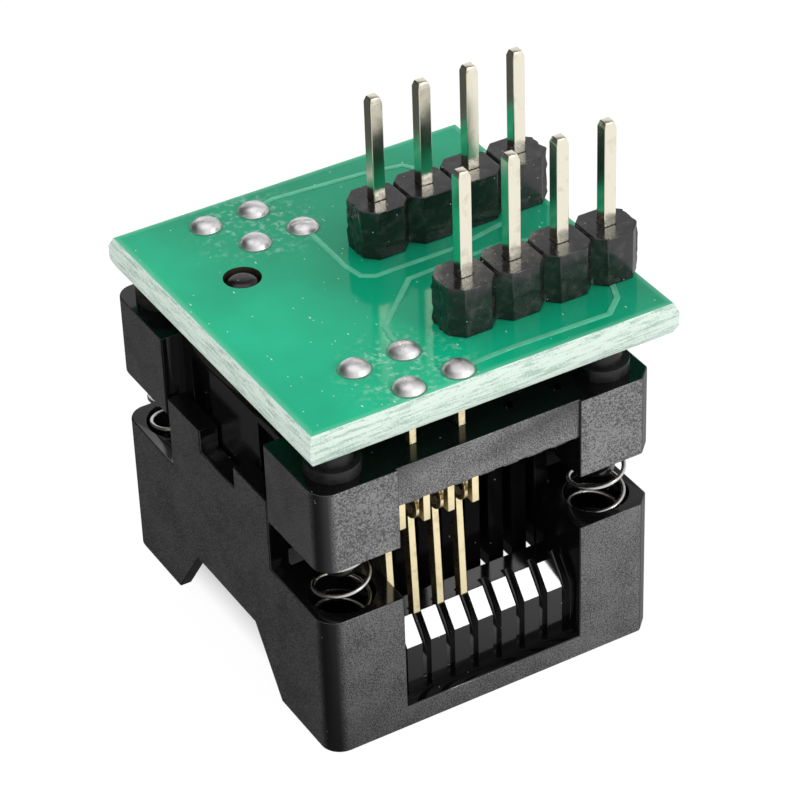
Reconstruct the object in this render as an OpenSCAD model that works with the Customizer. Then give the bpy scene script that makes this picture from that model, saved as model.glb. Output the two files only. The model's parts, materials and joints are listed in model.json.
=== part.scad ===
// Socket adapter for small-outline chips, with a press-down cover and a dual-in-line pin field.
// It stands as photographed: the cover is on the table, the pins point up.
// The origin is the centre of the chip mouth, on the outer face of the cover.

/* [Cover] */
// Cover depth, across the contact rows
cover_d = 19.76; // [18.6:0.02:22]
// Cover height, outer face to rim
cover_h = 7.6; // [7:0.1:9]
// Radius of the upright corners of the cover
cover_corner_r = 1.0; // [0.4:0.1:1.2]
// Chamfer of the corner that marks the socket's way round, on cover and base
mark_cut = 0.68; // [0.4:0.02:0.8]
// Thickness of the cover's outer face, and height of the window sills
cover_floor_t = 1.2; // [0.8:0.1:1.4]
// Room between the comb's end slots and the sides of its window
window_margin = 0.035; // [0.02:0.005:0.2]
// Distance from the outer face back to the comb's front
comb_setback = 0.78; // [0.6:0.02:0.9]
// Depth of the comb, front to back
comb_d = 2.2; // [2:0.1:2.6]
// Height of the comb's flat top
comb_h = 5.0; // [4.6:0.1:5.4]
// Run of the comb's ramp, measured inwards
ramp_run = 0.9; // [0.6:0.05:1.1]
// Drop of the comb's ramp, measured down
ramp_drop = 1.15; // [0.8:0.05:1.4]
// Clearance of a lever in its comb slot, on each side
comb_side_gap = 0.04; // [0.03:0.005:0.08]
// Thickness of the snap tongues on the short sides
tongue_t = 1.0; // [0.8:0.05:1.1]
// Width of a snap tongue
tongue_w = 9.6; // [8.6:0.1:9.6]
// Height of a snap tongue above the rim
tongue_h = 3.85; // [3.4:0.05:4.2]
// Width of the notch between the two prongs of a tongue
notch_w = 3.3; // [2.6:0.1:3.8]
// Depth of that notch
notch_d = 1.2; // [0.8:0.1:1.6]
// How far a barb stands in from its prong
barb_out = 0.35; // [0.25:0.05:0.4]
// Height of a barb
barb_h = 0.6; // [0.4:0.05:0.7]
// Width of the finger channel at the outer face
channel_w = 10.2; // [9.6:0.1:10.8]
// Width of the finger channel at its top
channel_top_w = 5.7; // [5:0.1:6.4]
// Height of the finger channel
channel_h = 3.2; // [2.8:0.1:3.6]
// Thickness of the short sides beside the finger channel
channel_wall_t = 0.6; // [0.5:0.05:0.8]
// How much wider the channel is behind those sides, each way
channel_room = 1.6; // [1:0.1:1.8]
// Room round the chip's place in the mouth, on each side
mouth_gap = 0.2; // [0.1:0.05:0.4]
// Slope allowance on each side of the mouth, outer face to inside
mouth_bevel = 1.0; // [0.6:0.1:1.2]

/* [Base] */
// How far the base stands out past the cover's short sides
base_over = 0.02; // [0:0.01:0.4]
// How far the base stands back from the cover's long sides
base_back = 0.04; // [0:0.01:0.2]
// Radius of the upright corners of the base
base_corner_r = 0.95; // [0.4:0.05:1.2]
// Thickness of the base plate
plate_t = 2.3; // [2.1:0.1:2.8]
// How far the corner blocks hang below the plate
block_drop = 1.97; // [1.8:0.01:2.2]
// How far the middle strips reach past the windows, on each side
strip_margin = 0.05; // [0.03:0.01:0.2]
// Set-back of the middle strips from the corner blocks
strip_inset = 0.17; // [0.1:0.01:0.25]
// Set-back of the strips' lower lip, where the contact slots open
lip_inset = 0.2; // [0.18:0.01:0.25]
// Height of that lip
lip_h = 0.2; // [0.14:0.02:0.3]
// Free height between the cover's rim and the corner blocks
rest_gap = 2.85; // [2.6:0.05:3.2]
// Thickness of the inner walls that guide the tongues
guide_wall_t = 1.1; // [0.9:0.1:1.3]
// How far those guide walls hang below the corner blocks
guide_drop = 1.2; // [0.9:0.1:1.4]
// Free height between the base and the board
board_gap = 1.28; // [1.1:0.02:1.6]
// Diameter of the round feet under the board
foot_dia = 2.6; // [2.4:0.1:2.8]
// Height of the feet's wide part
foot_h = 0.58; // [0.4:0.02:0.8]
// Diameter of the feet's narrow part, which carries the board
post_dia = 1.9; // [1.6:0.1:2.2]
// Distance of the feet from the long edges of the base
foot_inset_y = 1.8; // [1.7:0.05:1.9]
// Distance of the feet from the short edges of the base
foot_inset_x = 1.78; // [1.7:0.02:2]
// Diameter of the locating peg in the board
locator_dia = 1.6; // [1.4:0.05:1.7]
// How far the locating peg reaches into the board
locator_in = 1.55; // [0.8:0.05:1.6]
// Place of the locating peg along the contact rows
locator_x = -5.08; // [-5.6:0.01:-4.8]
// Place of the locating peg across the contact rows
locator_y = 3.5; // [3:0.01:3.8]
// Height of the pegs' domed ends
peg_dome = 0.25; // [0.15:0.05:0.3]
// Width of the pegs' domed ends, from the side inwards
peg_round = 0.5; // [0.3:0.05:0.6]

/* [Chip nest] */
// How far the pedestal reaches past the end contact positions
nest_end = 0.32; // [0.2:0.02:0.5]
// Gap between the pedestal's ribs and the comb
nest_gap = 0.9; // [0.7:0.05:1.2]
// Height from the plate down to the lead ledge
nest_h = 7.5; // [7.3:0.1:7.6]
// How far the ribs stand past the lead ledge
rib_over = 1.1; // [0.6:0.05:1.2]
// Chamfer of the ribs' outer ends
rib_cut = 0.3; // [0.2:0.05:0.5]
// Width between the ribs, where the chip's body lies
chip_w = 4.6; // [4.4:0.1:4.8]
// Depth of the trough under the chip's body
trough_d = 0.3; // [0.2:0.05:0.5]
// Width of the ledge that carries the leads
ledge_w = 0.9; // [0.7:0.05:1]
// Clearance of a contact in its slot, on each side
slot_side_gap = 0.05; // [0.03:0.005:0.08]

/* [Contacts] */
// Spacing of the contact positions
pitch = 1.27; // [1.25:0.01:1.29]
// Contact positions on each side
positions = 8; // [8:1:8]
// Positions that hold a contact, counted from the left
fitted = 4; // [2:1:4]
// Thickness of the stamped strip
strip_t = 0.36; // [0.28:0.02:0.38]
// Distance of the inner row of tails from the middle
tail_inner = 5.715; // [5.6:0.005:5.8]
// Distance of the outer row of tails from the middle
tail_outer = 8.255; // [8.1:0.005:8.4]
// Width of a tail
tail_w = 0.42; // [0.36:0.02:0.5]
// Height of the bar that sits in the base
bar_h = 0.85; // [0.7:0.05:1]
// How far the outer stub hangs below the plate
stub_drop = 1.3; // [1:0.05:1.4]
// Distance of the bending point in from the comb's front
pivot_in = 1.1; // [1:0.01:1.2]
// Distance of the bending point below the plate
pivot_drop = 1.1; // [1.05:0.01:1.2]
// Radius of the spring bend
bend_r = 0.72; // [0.65:0.01:0.75]
// Width of the spring bend
bend_w = 0.26; // [0.2:0.02:0.28]
// Distance of the lever's tip in from the comb's front
tip_in = 1.05; // [0.95:0.01:1.15]
// Width of the lever
lever_w = 0.5; // [0.4:0.02:0.54]
// Distance of the nose out from the chip's body
nose_reach = 0.45; // [0.35:0.01:0.6]
// Height of the nose
nose_h = 0.26; // [0.2:0.02:0.3]

/* [Motion] */
// Travel of the cover
travel = 2.3; // [2:0.05:2.4]
// Angle that a lever opens over that travel
open_angle = 9.7; // [8:0.1:10]
// Clearance between the lever's tip and its cam
cam_gap = 0.05; // [0.03:0.01:0.08]

/* [Springs] */
// Outer diameter of a coil spring
spring_dia = 2.8; // [2.7:0.05:2.85]
// Diameter of the spring wire
wire_dia = 0.22; // [0.18:0.01:0.24]
// Open turns of a spring
open_turns = 5.5; // [5:0.5:7.5]
// Turn of the front left spring about its axis
turn_front_left = 112.5; // [0:22.5:337.5]
// Turn of the front right spring about its axis
turn_front_right = 0; // [0:22.5:337.5]
// Turn of the back left spring about its axis
turn_back_left = 225; // [0:22.5:337.5]
// Turn of the back right spring about its axis
turn_back_right = 67.5; // [0:22.5:337.5]
// Clearance of a spring in its pocket, all round
pocket_gap = 0.15; // [0.1:0.01:0.2]
// Wall between a spring pocket and the window
pocket_wall_in = 0.6; // [0.5:0.05:0.9]
// Wall between a spring pocket and the short side
pocket_wall_out = 0.4; // [0.3:0.05:0.6]
// Wall between a spring pocket and the long side
pocket_wall_long = 0.38; // [0.3:0.02:0.6]
// Thickness of the cover under a spring
pocket_floor_t = 1.6; // [1.4:0.1:2]
// Clearance of a peg inside its spring, all round
peg_gap = 0.3; // [0.2:0.02:0.4]
// Length of those pegs
peg_h = 1.5; // [1.2:0.05:1.8]

/* [Board] */
// Board width at mid thickness
board_w = 19.2; // [19:0.05:20]
// Board depth at mid thickness
board_d = 19.3; // [19:0.05:20]
// Board thickness
board_t = 1.6; // [1.2:0.1:1.8]
// Offset of the board's middle, along the contact rows
board_x = 0.85; // [0.8:0.01:1]
// Offset of the board's middle, across the contact rows
board_y = 0.36; // [0.3:0.01:0.5]
// Depth of the scored edge
score_d = 0.45; // [0.3:0.05:0.5]
// Width of the scored edge
score_w = 0.2; // [0.1:0.02:0.26]
// Clearance of the locating peg in its hole, all round
locator_gap = 0.1; // [0.06:0.01:0.2]
// Hole for a contact tail
tail_hole_dia = 0.8; // [0.75:0.05:0.9]
// Hole for a header pin
pin_hole_dia = 1.02; // [1:0.02:1.1]

/* [Headers] */
// Spacing of the header pins
pin_pitch = 2.54; // [2.5:0.01:2.56]
// Distance between the two headers
row_gap = 7.62; // [7.58:0.01:7.7]
// Pins in each header
pins = 4; // [4:1:4]
// How far the pin field's last cell reaches past the board's edge
field_over = 0.03; // [0:0.01:0.06]
// Offset of the pin field, across the contact rows
field_y = -1.32; // [-1.4:0.01:-1.2]
// Side of a square pin
pin_side = 0.64; // [0.6:0.01:0.66]
// Length of a pin above its header
pin_up = 5.4; // [5:0.1:6.5]
// Length of a pin below the board
pin_below = 0.95; // [0.8:0.05:0.98]
// Length of the tapered pin tip
tip_l = 0.3; // [0.2:0.05:0.6]
// Side of the blunt pin end
tip_side = 0.46; // [0.3:0.01:0.5]
// Height of a header's insulator
header_h = 2.54; // [2.4:0.02:2.6]
// Depth of a header's insulator
header_d = 2.5; // [2.4:0.02:2.54]
// Cut of the corners between the header's segments
header_cut = 0.55; // [0.4:0.05:0.7]
// Depth of the groove across the top, where the header may be parted
header_groove = 0.1; // [0.06:0.01:0.16]
// Length lost at each broken header end
header_trim = 0.07; // [0.02:0.01:0.12]

/* [Solder] */
// Diameter of a solder dome on the board
dome_dia = 1.46; // [1.3:0.02:1.6]
// Height of a solder dome
dome_h = 0.48; // [0.45:0.01:0.6]
// Length of a tail inside its dome
tail_up = 0.3; // [0.2:0.02:0.34]
// Diameter of a solder cone under the board
cone_dia = 1.6; // [1.5:0.05:1.8]
// Height of a solder cone
cone_h = 0.7; // [0.5:0.05:0.75]

/* [Hidden] */
$fn = 48;

// Sides of the contact rows
FRONT = -1;
BACK = 1;
// Overshoot of a cut past the face it opens
over = 0.5;
// Clearance between pieces that are fitted into each other
fit = 0.02;
// Clearance of the tongues in their guides
slide_gap = 0.1;
// Clearance under a barb at rest
barb_gap = 0.05;
// Colours of the materials
plastic = "#2b2b2d";
gold = "#d9b65a";
tin = "#c9c6bd";
steel = "#b9bbbd";
laminate = "#159a66";

// Widths that follow the contact strip
comb_slot_w = strip_t + 2 * comb_side_gap;
slot_w = strip_t + 2 * slot_side_gap;
window_w = (positions - 1) * pitch + comb_slot_w + 2 * window_margin;

// Springs, their pockets in the cover and their pegs on the base
pocket_dia = spring_dia + 2 * pocket_gap;
peg_dia = spring_dia - 2 * (wire_dia + peg_gap);
spring_x = window_w / 2 + pocket_wall_in + pocket_dia / 2;
spring_y = cover_d / 2 - pocket_wall_long - pocket_dia / 2;

// Outlines: the cover holds a window between two pockets, and the base follows the cover
cover_w = window_w + 2 * (pocket_wall_in + pocket_dia + pocket_wall_out);
base_w = cover_w + 2 * base_over;
base_d = cover_d - 2 * base_back;
strip_half = window_w / 2 + strip_margin;
recess = tongue_w / 2 + slide_gap;

// Heights of the stack, from the table up
block_z = cover_h + rest_gap;
plate_z = block_z + block_drop;
base_top_z = plate_z + plate_t;
board_z = base_top_z + board_gap;
board_top_z = board_z + board_t;
header_top_z = board_top_z + header_h;
pin_top_z = header_top_z + pin_up;

// Comb of the cover
comb_front = cover_d / 2 - comb_setback;
comb_back = comb_front - comb_d;
ramp_top = comb_front - ramp_run;

// Chip nest
nest_l = positions * pitch + 2 * nest_end;
nest_d = 2 * (comb_back - nest_gap);
lead_z = plate_z - nest_h;
rib_end_z = lead_z - rib_over;
ledge_out = chip_w / 2 + ledge_w;
end_wall = nest_end + (pitch - slot_w) / 4;
mouth_l = nest_l + 2 * mouth_gap;
mouth_w = 2 * (ledge_out + mouth_gap);
locator_hole_dia = locator_dia + 2 * locator_gap;

// Lever: bending point, tip and nose, each as [distance from the middle, height]
tip_r = lever_w / 2;
pivot = [comb_front - pivot_in, plate_z - pivot_drop];
tip = [comb_front - tip_in, comb_h + tip_r / 5];
nose = [chip_w / 2 + nose_reach, lead_z - cam_gap - nose_h / 2];
hub = pivot + bend_r * [cos(-110), sin(-110)];
// Angle where the spring bend is parted, and the room that the opening lever needs there
bend_split = 8;
bend_open = open_angle + 5;

// Places of the pieces that repeat
field_x = board_x + (board_w - pins * pin_pitch) / 2 + field_over;
spring_len = block_z - pocket_floor_t - 2 * fit;
guide_out = cover_w / 2 - tongue_t - slide_gap;
ledge_z = cover_h + tongue_h - barb_h - barb_gap;

function contact_x(i) = (i - (positions - 1) / 2) * pitch;
function tail_out(side, i) = ((i % 2 == 0) == (side == BACK)) ? tail_outer : tail_inner;
function pin_x(i) = field_x + (i - (pins - 1) / 2) * pin_pitch;
function pin_y(side) = field_y + side * row_gap / 2;

// A point carried round the bending point as the lever opens
function swung(p, a) =
    let (d = p - pivot)
    pivot + [d[0] * cos(a) - d[1] * sin(a), d[0] * sin(a) + d[1] * cos(a)];

// The tip's place seen from the cover when the cover has moved its full travel
tip_end = swung(tip, open_angle) - [0, travel];
cam_dir = (tip_end - tip) / norm(tip_end - tip);
cam_shift = (tip_r + cam_gap) * [cam_dir[1], -cam_dir[0]];
cam_top = tip + cam_shift;
cam_low = tip_end + cam_shift;

// Points of a cubic curve, and of an arc about the bending point
function curve(a, b, c, d, n, first = 0) = [
    for (k = [first : n])
    let (t = k / n, s = 1 - t)
    s * s * s * a + 3 * s * s * t * b + 3 * s * t * t * c + t * t * t * d
];
function arc(r, from, to, n) = [
    for (k = [0 : n])
    let (a = from + (to - from) * k / n)
    pivot + r * [cos(a), sin(a)]
];

// One side of a strip that follows a line of points, with its width going from w0 to w1
function heading(points, k) =
    let (
        n = len(points) - 1,
        ahead = points[min(k + 1, n)] - points[max(k - 1, 0)]
    )
    ahead / norm(ahead);
function left_of(v) = [-v[1], v[0]];
function strip_side(points, w0, w1, side) = [
    let (n = len(points) - 1)
    for (k = [1 : n])
    points[k] + side * (w0 + (w1 - w0) * k / n) / 2 * left_of(heading(points, k))
];
function round_end(p, ahead, w) = [
    for (a = [30 : 30 : 150])
    p + w / 2 * (cos(a) * left_of(ahead) + sin(a) * ahead)
];
function reversed(list) = [for (k = [len(list) - 1 : -1 : 0]) list[k]];

// Turns an outline drawn as [distance from the middle, height] into a plate of thickness t at x
module upright(side, x, t) {
    mirror([0, side == FRONT ? 1 : 0, 0])
        translate([x - t / 2, 0, 0])
            rotate([90, 0, 90])
                linear_extrude(t)
                    children();
}

// Outline of the socket: three round corners and one chamfered corner, at the front right
module marked_rect(w, d, r) {
    difference() {
        union() {
            square([w - 2 * r, d], center = true);
            square([w, d - 2 * r], center = true);
            for (x = [-1, 1], y = [-1, 1])
                translate([x * (w / 2 - r), y * (d / 2 - r)])
                    circle(r);
            translate([w / 2 - r, -d / 2])
                square(r);
        }
        translate([w / 2, -d / 2])
            rotate(45)
                square(mark_cut * sqrt(2), center = true);
    }
}

module block(x0, x1, y0, y1, z0, z1) {
    translate([x0, y0, z0])
        cube([x1 - x0, y1 - y0, z1 - z0]);
}

module at_corners(x, y) {
    for (sx = [-1, 1], sy = [-1, 1])
        translate([sx * x, sy * y, 0])
            children();
}

// Room above and in front of the comb, out through the window
module comb_room() {
    top = cover_h + over;
    outside = cover_d / 2 + over;
    polygon([
        [0, cover_floor_t], [comb_back, cover_floor_t], [comb_back, comb_h], [ramp_top, comb_h],
        [comb_front, comb_h - ramp_drop], [comb_front, cover_floor_t], [outside, cover_floor_t],
        [outside, top], [0, top]
    ]);
}

// A comb slot: its back face is the cam that pushes the lever outwards
module comb_slot() {
    reach = cam_top - over * cam_dir;
    polygon([
        reach, cam_low, [cam_low[0], cover_floor_t], [comb_front + over / 2, cover_floor_t],
        [comb_front + over / 2, reach[1]]
    ]);
}

// A barb on the inside of a prong, flat below and sloped above
module barb() {
    out = cover_w / 2 - tongue_t;
    top = cover_h + tongue_h;
    polygon([
        [out + over / 2, top - barb_h], [out - barb_out, top - barb_h],
        [out - barb_out, top - 0.7 * barb_h], [out, top], [out + over / 2, top]
    ]);
}

module snap_tongue() {
    root = cover_h - over;
    top = cover_h + tongue_h;
    prong_w = (tongue_w - notch_w) / 2;
    difference() {
        block(cover_w / 2 - tongue_t, cover_w / 2, -tongue_w / 2, tongue_w / 2, root, top);
        block(0, cover_w, -notch_w / 2, notch_w / 2, top - notch_d, top + over);
    }
    for (s = [-1, 1])
        translate([0, s * (notch_w + prong_w) / 2 + prong_w / 4, 0])
            rotate([90, 0, 0])
                linear_extrude(prong_w / 2)
                    barb();
}

module cover() {
    color(plastic)
    difference() {
        union() {
            linear_extrude(cover_h)
                marked_rect(cover_w, cover_d, cover_corner_r);
            for (turn = [0, 180])
                rotate([0, 0, turn])
                    snap_tongue();
        }
        for (side = [FRONT, BACK]) {
            upright(side, 0, window_w)
                comb_room();
            for (i = [0 : positions - 1])
                upright(side, contact_x(i), comb_slot_w)
                    comb_slot();
        }
        // Room for the base's guide walls and for its pedestal
        inner_room(guide_out, recess);
        inner_room(nest_l / 2, nest_d / 2);
        at_corners(spring_x, spring_y)
            translate([0, 0, pocket_floor_t])
                cylinder(d = pocket_dia, h = cover_h);
        chip_mouth();
        finger_channel();
    }
}

// Room inside the cover, open at its rim, with sliding clearance round what goes in
module inner_room(half_x, half_y) {
    x = half_x + slide_gap;
    y = half_y + slide_gap;
    block(-x, x, -y, y, cover_floor_t, cover_h + over);
}

// Mouth that the chip drops through, widening towards the outer face
module chip_mouth() {
    narrow = mouth_w / 2;
    wide = narrow + mouth_bevel;
    upright(BACK, 0, mouth_l)
        polygon([
            [-wide, -over], [wide, -over], [wide, 0], [narrow, cover_floor_t],
            [narrow, cover_floor_t + over], [-narrow, cover_floor_t + over], [-narrow, cover_floor_t],
            [-wide, 0]
        ]);
}

// Channels for the fingers or tweezers, from the short sides to the mouth, wider behind their thin sides
module finger_channel() {
    length = (cover_w - mouth_l) / 2;
    for (s = [-1, 1]) {
        upright(BACK, s * (mouth_l + length + over) / 2, length + over)
            channel_section(0);
        upright(BACK, s * (mouth_l + length - channel_wall_t) / 2, length - channel_wall_t)
            channel_section(channel_room);
    }
}

module channel_section(room) {
    low = channel_w / 2 + room;
    high = channel_top_w / 2 + room;
    polygon([
        [-low, -over], [low, -over], [low, 0], [high, channel_h], [-high, channel_h], [-low, 0]
    ]);
}

// Pedestal seen along the contact rows: half of its outline, ribs included
module nest_half() {
    rib_out = nest_d / 2;
    polygon([
        [0, plate_z + over], [rib_out, plate_z + over], [rib_out, rib_end_z + rib_cut],
        [rib_out - rib_cut, rib_end_z], [chip_w / 2 + rib_cut, rib_end_z], [chip_w / 2, lead_z],
        [0, lead_z]
    ]);
}

// Room for one contact in the pedestal, leaving the ledge under the lead
module nest_slot() {
    outside = nest_d / 2 + over;
    inside = chip_w / 2 - fit;
    polygon([
        [ledge_out, plate_z], [ledge_out, lead_z], [inside, lead_z], [inside, rib_end_z - over],
        [outside, rib_end_z - over], [outside, plate_z]
    ]);
}

// Room for a contact's bar and tail in the base plate
module bar_slot(tail) {
    inner = tail_inner - tail_w;
    outer = base_d / 2 - 2 * strip_inset;
    block(-slot_w / 2, slot_w / 2, inner - fit, outer + fit, plate_z - over, plate_z + bar_h + fit);
    block(-slot_w / 2, slot_w / 2, tail - tail_w / 2 - fit, tail + tail_w / 2 + fit, plate_z,
        base_top_z + over);
}

// A round peg with a domed end
module peg(dia, length) {
    side = [
        for (a = [0 : 22.5 : 90])
        [dia / 2 - peg_round * (1 - cos(a)), length - peg_dome * (1 - sin(a))]
    ];
    rotate_extrude()
        polygon(concat([[0, 0], [dia / 2, 0]], side, [[0, length]]));
}

module guide_pocket() {
    prong_w = (tongue_w - notch_w) / 2;
    at = (notch_w + prong_w) / 2;
    top = cover_h + tongue_h + travel + 2 * slide_gap;
    for (s = [-1, 1])
        block(guide_out - barb_out - slide_gap, base_w, s * at - prong_w / 4 - slide_gap,
            s * at + prong_w / 4 + slide_gap, ledge_z, top);
}

module socket_base() {
    guide_in = guide_out - guide_wall_t;
    color(plastic)
    difference() {
        union() {
            translate([0, 0, block_z])
                linear_extrude(block_drop + plate_t)
                    marked_rect(base_w, base_d, base_corner_r);
            for (side = [FRONT, BACK])
                upright(side, 0, nest_l)
                    nest_half();
            for (s = [-1, 1])
                translate([s * (guide_in + guide_out) / 2, 0, 0])
                    block(-guide_wall_t / 2, guide_wall_t / 2, -recess, recess, block_z - guide_drop,
                        plate_z + over);
            at_corners(base_w / 2 - foot_inset_x, base_d / 2 - foot_inset_y)
                translate([0, 0, base_top_z - over]) {
                    cylinder(d = foot_dia, h = foot_h + over);
                    cylinder(d = post_dia, h = board_gap + over);
                }
            at_corners(spring_x, spring_y)
                translate([0, 0, block_z + over])
                    rotate([180, 0, 0])
                        peg(peg_dia, peg_h + over);
            translate([locator_x, locator_y, base_top_z - over])
                peg(locator_dia, over + board_gap + locator_in);
        }
        // Open middle between the corner blocks, around the pedestal and the guide walls
        difference() {
            union() {
                block(-strip_half, strip_half, -base_d, base_d, 0, plate_z);
                block(-base_w, base_w, -recess, recess, 0, plate_z);
            }
            block(-nest_l / 2, nest_l / 2, -nest_d / 2, nest_d / 2, 0, plate_z + over);
            for (s = [-1, 1])
                translate([s * (guide_in + guide_out) / 2, 0, 0])
                    block(-guide_wall_t / 2, guide_wall_t / 2, -recess, recess, 0, plate_z + over);
        }
        for (s = [-1, 1]) {
            translate([0, s * (base_d / 2 - strip_inset + over / 2), 0])
                block(-strip_half, strip_half, -over / 2, over / 2, 0, base_top_z + over);
            translate([0, s * (base_d / 2 - strip_inset), 0])
                block(-strip_half, strip_half, -lip_inset, lip_inset, 0, plate_z + lip_h);
            translate([s * (guide_out + base_w / 2), 0, 0])
                block(-base_w / 2, base_w / 2, -recess, recess, 0, base_top_z + over);
        }
        for (turn = [0, 180])
            rotate([0, 0, turn])
                guide_pocket();
        for (side = [FRONT, BACK], i = [0 : positions - 1]) {
            upright(side, contact_x(i), slot_w)
                nest_slot();
            mirror([0, side == FRONT ? 1 : 0, 0])
                translate([contact_x(i), 0, 0])
                    bar_slot(tail_out(side, i));
        }
        block(-nest_l / 2 + end_wall, nest_l / 2 - end_wall, -chip_w / 2 + trough_d, chip_w / 2 - trough_d,
            0, lead_z + trough_d);
    }
}

// Part of a contact that is held in the base: bar, outer stub, tail and root of the spring bend
module contact_blade(side, i) {
    tail = tail_out(side, i);
    inner = tail_inner - tail_w;
    outer = base_d / 2 - 2 * strip_inset;
    bar_top = plate_z + bar_h;
    tail_top = board_top_z + tail_up;
    root_in = pivot[0] - lever_w;
    color(gold)
    upright(side, contact_x(i), strip_t)
        polygon(concat(
            [[inner, plate_z], [root_in, plate_z], [root_in, pivot[1] + bend_r - bend_w / 2]],
            arc(bend_r - bend_w / 2, 90, bend_split + bend_open, 5),
            arc(bend_r + bend_w / 2, bend_split + bend_open, 90, 5),
            [
                [pivot[0], plate_z], [outer - tail_w, plate_z], [outer - tail_w, plate_z - stub_drop],
                [outer, plate_z - stub_drop], [outer, bar_top], [tail + tail_w / 2, bar_top],
                [tail + tail_w / 2, tail_top], [tail - tail_w / 2, tail_top], [tail - tail_w / 2, bar_top],
                [inner, bar_top]
            ]
        ));
}

// Part of a contact that swings: rest of the spring bend, lever with its tip, arm with its nose
module contact_lever(side, i) {
    down = (tip - hub) / norm(tip - hub);
    elbow = [ledge_out + 2 * lever_w, nose[1] + 2.5 * lever_w];
    fall = [0, (hub[1] - elbow[1]) / 3];
    run = [(hub[0] - elbow[0]) / 2, 0];
    arm = concat(
        curve(hub, hub - run - fall / 3, elbow + fall, elbow, 8),
        curve(elbow, elbow - [0, 1.8 * lever_w], nose + [1.6 * lever_w, 0], nose, 6, 1)
    );
    color(gold)
    upright(side, contact_x(i), strip_t)
        polygon(concat(
            arc(bend_r + bend_w / 2, bend_split, -88, 8),
            [tip + tip_r * left_of(down)],
            round_end(tip, down, lever_w),
            [tip - tip_r * left_of(down), hub - 0.6 * lever_w * [1, 1]],
            strip_side(arm, lever_w, nose_h, 1),
            round_end(nose, heading(arm, len(arm) - 1), nose_h),
            reversed(strip_side(arm, lever_w, nose_h, -1)),
            arc(bend_r - bend_w / 2, -115, bend_split, 8)
        ));
}

// A coil spring with one closed turn at each end
function coil_z(turn) =
    let (
        closed = 1.15 * wire_dia,
        pitch_open = (spring_len - wire_dia - 2 * closed) / open_turns,
        t1 = min(turn, 1),
        t2 = max(0, min(turn - 1, open_turns)),
        t3 = max(0, turn - 1 - open_turns)
    )
    pocket_floor_t + fit + wire_dia / 2 + closed * (t1 + t3) + pitch_open * t2;

module coil_spring(sx, sy, turn) {
    per_turn = 16;
    sides = 6;
    rings = round((open_turns + 2) * per_turn);
    mean_r = (spring_dia - wire_dia) / 2;
    points = [
        for (k = [0 : rings], m = [0 : sides - 1])
        let (
            a = 360 * k / per_turn,
            b = 360 * m / sides,
            r = mean_r + wire_dia / 2 * cos(b)
        )
        [r * cos(a), r * sin(a), coil_z(k / per_turn) + wire_dia / 2 * sin(b)]
    ];
    skin = [
        for (k = [0 : rings - 1], m = [0 : sides - 1])
        let (n = (m + 1) % sides, a = k * sides, b = a + sides)
        [a + m, b + m, b + n, a + n]
    ];
    ends = [
        [for (m = [0 : sides - 1]) m],
        [for (m = [sides - 1 : -1 : 0]) rings * sides + m]
    ];
    color(steel)
    translate([sx * spring_x, sy * spring_y, 0])
        rotate([0, 0, turn])
            polyhedron(points = points, faces = concat(ends, skin), convexity = 10);
}

// Board section with the scored edges, across a width w
module board_section(w) {
    half = w / 2;
    polygon([
        [-half + score_w, board_z], [half - score_w, board_z], [half, board_z + score_d],
        [half, board_top_z - score_d], [half - score_w, board_top_z], [-half + score_w, board_top_z],
        [-half, board_top_z - score_d], [-half, board_z + score_d]
    ]);
}

module circuit_board() {
    color(laminate)
    difference() {
        translate([board_x, board_y, 0])
            intersection() {
                upright(BACK, 0, board_w + over)
                    board_section(board_d);
                rotate([0, 0, 90])
                    upright(BACK, 0, board_d + over)
                        board_section(board_w);
            }
        translate([locator_x, locator_y, board_z - over])
            cylinder(d = locator_hole_dia, h = board_t + 2 * over);
        for (side = [FRONT, BACK]) {
            for (i = [0 : fitted - 1])
                translate([contact_x(i), side * tail_out(side, i), board_z - over])
                    cylinder(d = tail_hole_dia, h = board_t + 2 * over);
            for (i = [0 : pins - 1])
                translate([pin_x(i), pin_y(side), board_z - over])
                    cylinder(d = pin_hole_dia, h = board_t + 2 * over);
        }
    }
}

// Solder domes over the contact tails
module contact_solder() {
    ball_r = (dome_dia * dome_dia / 4 + dome_h * dome_h) / (2 * dome_h);
    color(tin)
    for (side = [FRONT, BACK], i = [0 : fitted - 1])
        translate([contact_x(i), side * tail_out(side, i), board_top_z])
            difference() {
                intersection() {
                    translate([0, 0, dome_h - ball_r])
                        sphere(ball_r);
                    cylinder(d = 2 * dome_dia, h = 2 * dome_h);
                }
                block(-strip_t / 2 - fit, strip_t / 2 + fit, -tail_w / 2 - fit, tail_w / 2 + fit,
                    -over, tail_up + fit);
            }
}

// Solder cones round the header pins, under the board
module header_solder() {
    hole = pin_side + 2 * fit;
    color(tin)
    for (side = [FRONT, BACK], i = [0 : pins - 1])
        translate([pin_x(i), pin_y(side), board_z - cone_h])
            difference() {
                cylinder(d1 = (cone_dia + pin_side) / 2, d2 = cone_dia, h = cone_h);
                block(-hole / 2, hole / 2, -hole / 2, hole / 2, -over, cone_h + over);
            }
}

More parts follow.
